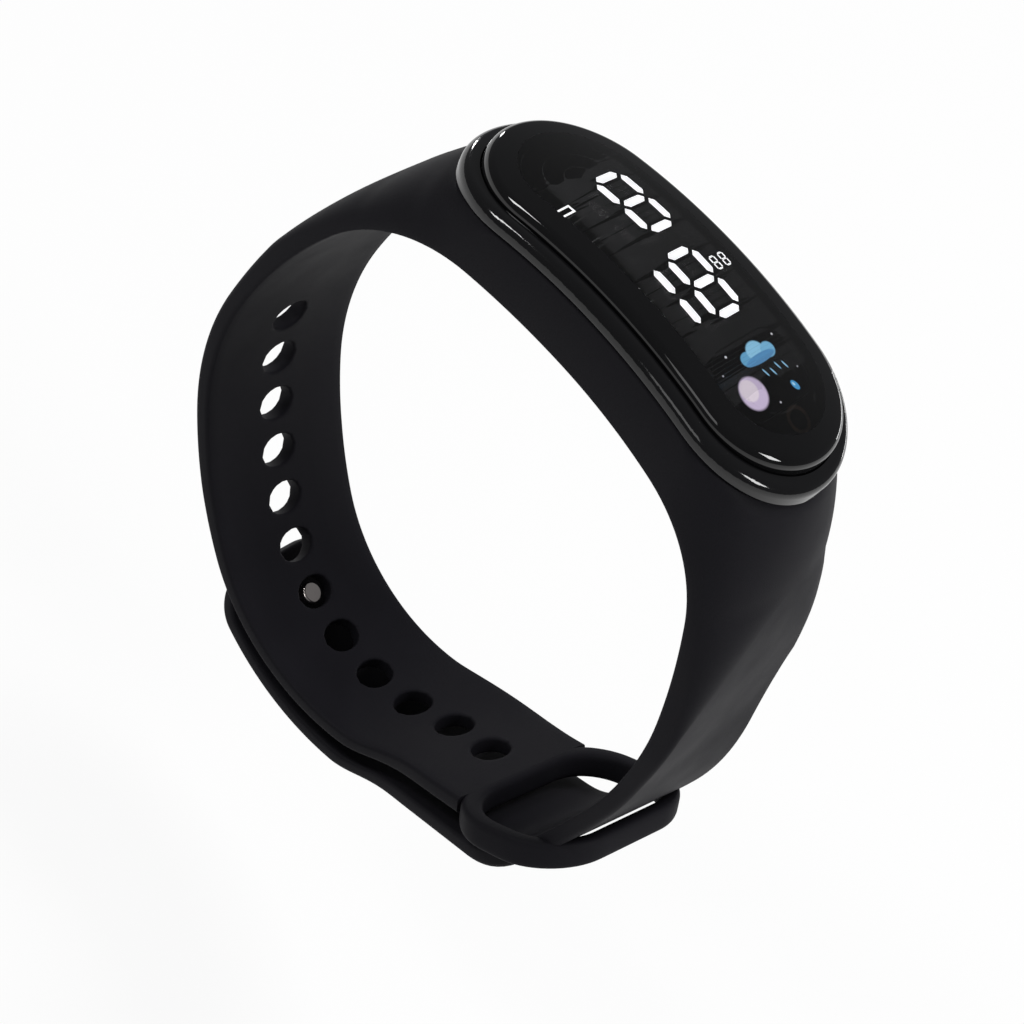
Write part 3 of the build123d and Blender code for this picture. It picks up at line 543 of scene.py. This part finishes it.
# Outer outline of each shoulder: the arch under the ring, then a curve down to
# where the band is thin.
THIN = 2.0
HALF = 10.9
CRADLE_ARCH = 68.2
CASE_END = 23.5
PILL_STRAIGHT = 12.4
SHOULDER_END = {1: 49.9, -1: 52.1}
SHOULDER_HEADING = {1: math.radians(232), -1: math.radians(-57)}
shoulder_outline = {}
for hand in (1, -1):
    outline = [Vector((-hand * x, ARCH_CENTRE + math.sqrt(CRADLE_ARCH**2 - x * x)))
               for x in [k * CASE_END / 24 for k in range(25)]]
    point, normal = inner_face(hand * SHOULDER_END[hand])
    flange_end = outline[-1]
    thin_end = point + normal * THIN
    third = (thin_end - flange_end).length / 3
    heading = SHOULDER_HEADING[hand]
    leaving = flange_end + Vector((math.cos(heading), math.sin(heading))) * third
    arriving = thin_end - Vector((-normal.y, normal.x)) * hand * third
    for u in [k / 24 for k in range(1, 25)]:
        outline.append(flange_end * (1 - u)**3 + leaving * 3 * u * (1 - u)**2
                       + arriving * 3 * u * u * (1 - u) + thin_end * u**3)
    shoulder_outline[hand] = outline


def band_thickness(s):
    """How far the outer outline lies from the inner face."""
    hand = 1 if s >= 0 else -1
    if abs(s) >= SHOULDER_END[hand]:
        return THIN
    point, normal = inner_face(s)
    outline = shoulder_outline[hand]
    reaches = []
    for a, b in zip(outline, outline[1:]):
        edge, gap = b - a, a - point
        cross = normal.x * edge.y - normal.y * edge.x
        if abs(cross) < 1e-9:
            continue
        reach = (gap.x * edge.y - gap.y * edge.x) / cross
        along = (gap.x * normal.y - gap.y * normal.x) / cross
        if -0.01 <= along <= 1.01 and reach > 0:
            reaches.append(reach)
    return max(THIN, min(reaches, default=THIN))


STUD_TAPER = 1.4
HOLED_TAPER = 1.3


def band_half_width(s):
    """Half the band's width, which narrows towards both ends."""
    point, normal = inner_face(s)
    if s < 0:
        return HALF - STUD_TAPER * max(0.0, min(1.0, (-26.0 - point.y) / 21.0))
    if point.y > -30:
        return HALF
    return HALF - HOLED_TAPER * max(0.0, min(1.0, (point.x + 26.0) / 45.0))


def band_section(s):
    """Half width, half width of the flat outer face, height where the side turns in, and thickness."""
    width = band_half_width(s)
    top = band_thickness(s)
    point, normal = inner_face(s)
    outer_x = abs(point.x + normal.x * top)
    if outer_x < 23.3 and abs(s) < 40:
        pill = math.sqrt(max(0.0, HALF**2 - max(0.0, outer_x - PILL_STRAIGHT)**2))
        turn_in = top - 0.35 - (top - 1.2) * eased((outer_x - PILL_STRAIGHT) / 7.0)
        return width, max(pill - 0.35, 0.0), turn_in, top
    share = max(0.0, min(1.0, (abs(s) - 27.0) / (SHOULDER_END[1 if s >= 0 else -1] - 27.0)))
    flat = (width - 0.6) * min(1.0, share / 0.55)**0.55
    return width, flat, min(1.0 + (top - 1.6) * eased(share / 0.7), top - 0.6), top


# The strip's cells are an eighth of the holes' pitch, so that each hole takes
# a block of cells.
PITCH = 6.28
CELL = PITCH / 8
CORNER_CUTS = 8
LOW_ROUND = 0.45
HOLES = 12
LAST_HOLE_BACK = 12.4
hole_places = [HOLED_END - LAST_HOLE_BACK - PITCH * (HOLES - count) for count in range(1, HOLES + 1)]


def across_face(reach):
    """Places across half a face: even cells in the strip of the holes, then wider ones to the edge."""
    if reach < 4 * CELL + 0.5:
        return [reach * k / 10 for k in range(11)]
    return [CELL * k for k in range(5)] + [4 * CELL + (reach - 4 * CELL) * k / 6 for k in range(1, 7)]


def half_section(width, flat, turn_in, top, low=0.0):
    """Half of the strip's section, from the middle of the inner face to the middle of the outer."""
    points = [(y, low) for y in across_face(width - LOW_ROUND)]
    for k in range(1, 4):
        angle = math.radians(30 * k)
        points.append((width - LOW_ROUND * (1 - math.sin(angle)), low + LOW_ROUND * (1 - math.cos(angle))))
    for k in range(CORNER_CUTS + 1):
        angle = math.radians(90 * k / CORNER_CUTS)
        points.append((flat + (width - flat) * math.cos(angle), turn_in + (top - turn_in) * math.sin(angle)))
    return points + [(y, top) for y in reversed(across_face(flat)[:-1])]


def strip(stations):
    """A closed strip, still flat: x is the length along the band, y across it and z its thickness."""
    halves = [(s, half_section(*shape)) for s, shape in stations]
    around = 2 * (len(halves[0][1]) - 1)
    bm = bmesh.new()
    bmesh.ops.create_grid(bm, x_segments=len(halves) - 1, y_segments=around, size=0.5)
    for vert in bm.verts:
        s, half = halves[round((vert.co.x + 0.5) * (len(halves) - 1))]
        count = round((vert.co.y + 0.5) * around)
        y, h = half[count] if count < len(half) else (-half[around - count][0], half[around - count][1])
        vert.co = (s, y, h)
    bmesh.ops.remove_doubles(bm, verts=bm.verts, dist=0.0001)
    bmesh.ops.holes_fill(bm, edges=[e for e in bm.edges if e.is_boundary], sides=0)
    return bm


# The lower right of the loop doesn't lie square to the case: it turns by the
# twist and leans to the near side by the shift.
TWIST = 0.2
SHIFT = 0.2
SHIFT_FROM = 15.0


def settled(x, y, z):
    """The closed band turns a little about the upright where its two ends meet in the keeper."""
    near_keeper = eased((x - 4.0) / 12.0)
    turn = TWIST * near_keeper * eased((-22.0 - z) / 24.0)
    shift = SHIFT * near_keeper * eased((-45.0 - z) / 14.0)
    return Vector((x + turn * y, y - shift * (x - SHIFT_FROM), z)) * MM


def lay_in_loop(bm):
    """Lays a flat strip along the wrist loop."""
    for vert in bm.verts:
        point, normal = inner_face(vert.co.x)
        spot = point + normal * vert.co.z
        vert.co = settled(spot.x, vert.co.y, spot.y)
    bmesh.ops.recalc_face_normals(bm, faces=bm.faces)


# Round holes, a little longer across the band, with softened rims.
HOLE_ALONG = 2.0
HOLE_ACROSS = 2.5
HOLE_ROUND = 0.3
TAIL_START = -96.0
below = round((hole_places[-1] - TAIL_START) / CELL)
lengths = [TAIL_START] + [hole_places[-1] - CELL * (below - k) for k in range(1, below + 8)]
band_bm = strip([(s, band_section(s)) for s in lengths])
for hole in hole_places:
    block = []
    for face in band_bm.faces:
        middle = face.calc_center_median()
        on_face = middle.z < 0.1 or middle.z > THIN - 0.1
        if on_face and max(abs(middle.x - hole), abs(middle.y)) < 2 * CELL:
            block.append(face)
    bmesh.ops.delete(band_bm, geom=block, context="FACES")
    for vert in band_bm.verts:
        x, y = vert.co.x - hole, vert.co.y
        size = max(abs(x), abs(y))
        if size > 4 * CELL - 0.01 or 0.1 < vert.co.z < THIN - 0.1:
            continue
        angle = math.atan2(y, x)
        oval = 1 / math.hypot(math.cos(angle) / HOLE_ALONG, math.sin(angle) / HOLE_ACROSS)
        square = 4 * CELL / max(abs(math.cos(angle)), abs(math.sin(angle)))
        reach = oval + (square - oval) * (size - 2 * CELL) / (2 * CELL)
        vert.co.x = hole + math.cos(angle) * reach
        vert.co.y = math.sin(angle) * reach
    rims = [e for e in band_bm.edges if e.is_boundary and abs(e.verts[0].co.x - hole) < 3.2]
    bmesh.ops.bridge_loops(band_bm, edges=rims)
    bmesh.ops.bevel(band_bm, geom=rims, offset=HOLE_ROUND, segments=3, profile=0.5, affect="EDGES",
                    material=-1)
lay_in_loop(band_bm)

# The pocket is cut with two blocks of the case's own outline, for the body and
# for the pad below it.
CRADLE_GAP = 0.1
PAD_HEIGHT = 1.8
BODY_OUTLINE = (43.6, 18.8)
PAD_OUTLINE = (35.6, 14.2)
CUT_REACH = 12.0
CUT_LAP = 0.1
silicone = moulded("band_silicone", (0.0098, 0.0094, 0.0118), 0.6, 7000.0, 0.3, specular=0.07)
band = finished("band_strip", band_bm, silicone, "band")
for (long_side, short_side), low, high in ((BODY_OUTLINE, PAD_HEIGHT, CUT_REACH),
                                           (PAD_OUTLINE, -CUT_REACH, PAD_HEIGHT + CUT_LAP)):
    cutter_bm = bmesh.new()
    radius = (short_side / 2 + CRADLE_GAP) * MM
    bmesh.ops.create_circle(cutter_bm, cap_ends=True, segments=96, radius=radius)
    for vert in cutter_bm.verts:
        vert.co.x += math.copysign((long_side - short_side) / 2 * MM, vert.co.x)
        vert.co.z = low * MM
    grown = bmesh.ops.extrude_face_region(cutter_bm, geom=cutter_bm.faces[:])
    top_verts = [v for v in grown["geom"] if isinstance(v, bmesh.types.BMVert)]
    bmesh.ops.translate(cutter_bm, verts=top_verts, vec=(0, 0, (high - low) * MM))
    bmesh.ops.recalc_face_normals(cutter_bm, faces=cutter_bm.faces)
    cutter_mesh = bpy.data.meshes.new("pocket_cutter")
    cutter_bm.to_mesh(cutter_mesh)
    cutter_bm.free()
    cutter = bpy.data.objects.new("pocket_cutter", cutter_mesh)
    bpy.context.scene.collection.objects.link(cutter)
    cut = band.modifiers.new("pocket", "BOOLEAN")
    cut.operation = "DIFFERENCE"
    cut.object = cutter
    hollow = bpy.data.meshes.new_from_object(band.evaluated_get(bpy.context.evaluated_depsgraph_get()))
    band.modifiers.remove(cut)
    band.data = hollow
    bpy.data.objects.remove(cutter)
band.data.set_sharp_from_angle(angle=math.radians(40))
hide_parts("strap", "strap_stud_side")

# Keeper: the loop at the end of the holed side, part of the same moulding. It
# is a thick rounded ring round a slot, and the stud side dives through it. Each
# outline has its reach back and front, its half width and its corner.
KEEPER = (8.6, 8.5, 11.5, 7.0)
SLOT = (6.0, 6.7, 9.6, 5.0)
KEEPER_LOW = 0.0
KEEPER_HIGH = 3.05
RING_STATIONS = 120
RING_CUTS = 28
RING_SQUARE = 0.5


def rounded_outline(shape, share):
    """The point a share round a rectangle with rounded corners."""
    back, front, half_width, corner = shape
    corners = ((front, half_width), (-back, half_width), (-back, -half_width), (front, -half_width))
    centres = [Vector((x - math.copysign(corner, x), y - math.copysign(corner, y))) for x, y in corners]
    count = int(share * 4) % 4
    part = share * 4 - int(share * 4)
    angle = math.radians(90 * count + 90 * min(1.0, part * 2))
    centre = centres[count] + (centres[(count + 1) % 4] - centres[count]) * max(0.0, part * 2 - 1)
    return centre + Vector((math.cos(angle), math.sin(angle))) * corner


keeper_bm = bmesh.new()
bmesh.ops.create_grid(keeper_bm, x_segments=RING_STATIONS, y_segments=RING_CUTS, size=0.5)
end_point, end_normal = inner_face(HOLED_END)
end_way = Vector((-end_normal.y, end_normal.x))
for vert in keeper_bm.verts:
    share = (vert.co.x + 0.5) % 1.0
    angle = 2 * math.pi * (vert.co.y + 0.5)
    outer, inner = rounded_outline(KEEPER, share), rounded_outline(SLOT, share)
    bulge = math.copysign(abs(math.cos(angle))**RING_SQUARE, math.cos(angle))
    rise = math.copysign(abs(math.sin(angle))**RING_SQUARE, math.sin(angle))
    flat_spot = (outer + inner) / 2 + (outer - inner) / 2 * bulge
    height = (KEEPER_LOW + KEEPER_HIGH) / 2 + (KEEPER_HIGH - KEEPER_LOW) / 2 * rise
    spot = end_point + end_way * flat_spot.x + end_normal * height
    vert.co = settled(spot.x, flat_spot.y, spot.y)
bmesh.ops.remove_doubles(keeper_bm, verts=keeper_bm.verts, dist=0.000001)
bmesh.ops.recalc_face_normals(keeper_bm, faces=keeper_bm.faces)
keeper = finished("keeper_ring", keeper_bm, silicone, "band", sharp=70.0)

# Tail: the end of the stud side, outside the holed side, in the same silicone,
# cut to a rounded tip.
TAIL_END = 127.7
TIP_RADIUS = 5.3
TIP_ROUND = 0.6


def tip_width(s):
    """Half the tail's width, rounded off at its tip."""
    past = max(0.0, s - (TAIL_END - TIP_RADIUS))
    return band_half_width(-s) - TIP_RADIUS + math.sqrt(max(0.0, TIP_RADIUS**2 - past**2))


TAIL_STEP = 0.5
TIP_STEP = 0.2
tail_stations = []
s = -TAIL_START
while s < TAIL_END - TIP_ROUND:
    width = tip_width(s)
    tail_stations.append((-s, (width, width - TIP_ROUND, THIN - TIP_ROUND, THIN)))
    s += TAIL_STEP if s < TAIL_END - TIP_RADIUS else TIP_STEP
for k in range(7):
    angle = math.radians(15 * k)
    s = TAIL_END - TIP_ROUND * (1 - math.sin(angle))
    sunk = TIP_ROUND * (1 - math.cos(angle)) * 0.9
    width = tip_width(s) - sunk * 0.5
    tail_stations.append((-s, (width, width - TIP_ROUND, THIN - TIP_ROUND - sunk / 2, THIN - sunk, sunk)))
tail_bm = strip(tail_stations)
lay_in_loop(tail_bm)
tail = finished("tail_strip", tail_bm, silicone, None, sharp=60.0)
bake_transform(tail)
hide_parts("strap_tail")

# Backing disc: a round plug of the same silicone that closes the tail behind
# the stud's foot, a hair proud of it.
STUD_AT = -121.7
DISC_RADIUS = 3.0
DISC_THICKNESS = 0.78
DISC_PROUD = 0.08
DISC_ROUND = 0.2
disc_bm = bmesh.new()
bmesh.ops.create_cone(disc_bm, cap_ends=True, segments=64, radius1=DISC_RADIUS, radius2=DISC_RADIUS,
                      depth=DISC_THICKNESS)
rim = [e for e in disc_bm.edges if all(v.co.z > 0 for v in e.verts)]
bmesh.ops.bevel(disc_bm, geom=rim, offset=DISC_ROUND, segments=3, profile=0.5, affect="EDGES", material=-1)
bmesh.ops.translate(disc_bm, verts=disc_bm.verts, vec=(STUD_AT, 0, THIN + DISC_PROUD - DISC_THICKNESS / 2))
lay_in_loop(disc_bm)
disc = finished("backing_disc", disc_bm, silicone, "tail")
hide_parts("stud_backing_disc")

# Stud: turned steel, nickel-plated and polished, its domed head pushed through
# the seventh hole from outside.
dress("stud", moulded("stud_nickel", (0.72, 0.66, 0.63), 0.2, 3000.0, 0.15, metal=1.0))
